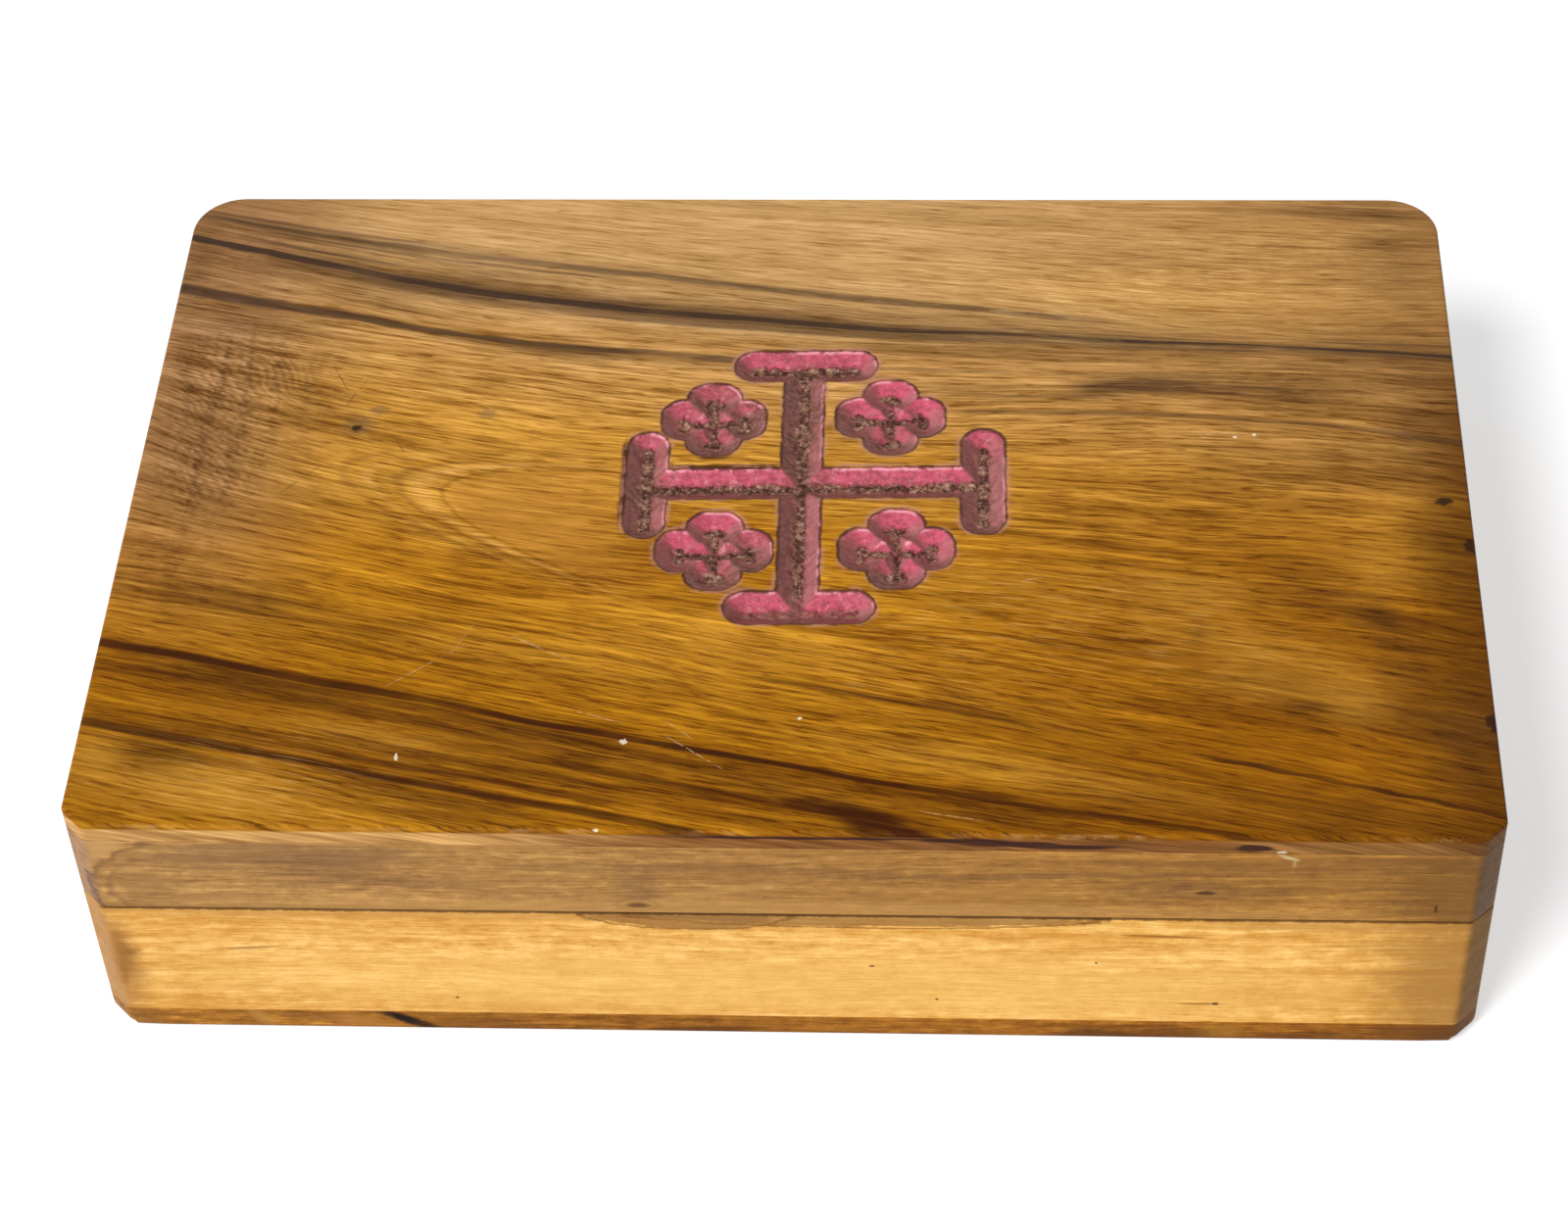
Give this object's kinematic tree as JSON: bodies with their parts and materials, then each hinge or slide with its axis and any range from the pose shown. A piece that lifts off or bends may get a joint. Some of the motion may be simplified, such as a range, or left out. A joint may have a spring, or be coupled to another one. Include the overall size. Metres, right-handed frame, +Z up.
{
  "type": "trinket box",
  "caption": "Low rectangular wooden trinket box with rounded corners, a hinged lid, and a large cross with small crosses round it routed into the lid.",
  "frame": {"origin": "centre of the box's underside, on the surface that it stands on", "axes": "+X to the right along the front, +Y from the front to the hinged back, +Z up; the lid is closed"},
  "size_m": [0.165, 0.1123, 0.0382],
  "materials": {
    "lid_panel_wood": "satin",
    "lid_frame_wood": "satin",
    "base_frame_wood": "satin",
    "bottom_panel_wood": "satin",
    "hinge_brass": "satin"
  },
  "bodies": {
    "base": {"base_bottom_panel": "bottom_panel_wood", "base_front_board": "base_frame_wood", "base_back_board": "base_frame_wood", "base_left_board": "base_frame_wood", "base_right_board": "base_frame_wood", "left_hinge_base_leaf": "hinge_brass", "left_hinge_base_nails": "hinge_brass", "left_hinge_pin": "hinge_brass", "right_hinge_base_leaf": "hinge_brass", "right_hinge_base_nails": "hinge_brass", "right_hinge_pin": "hinge_brass"},
    "lid": {"lid_top_panel": "lid_panel_wood", "lid_front_board": "lid_frame_wood", "lid_back_board": "lid_frame_wood", "lid_left_board": "lid_frame_wood", "lid_right_board": "lid_frame_wood", "left_hinge_lid_leaf": "hinge_brass", "left_hinge_lid_nails": "hinge_brass", "right_hinge_lid_leaf": "hinge_brass", "right_hinge_lid_nails": "hinge_brass"}
  },
  "joints": [
    {"name": "lid_hinge", "type": "hinge", "parent": "base", "child": "lid", "pos_m": [0, 0.056, 0.0233], "axis": [-1, 0, 0], "range_deg": [0, 180]}
  ]
}
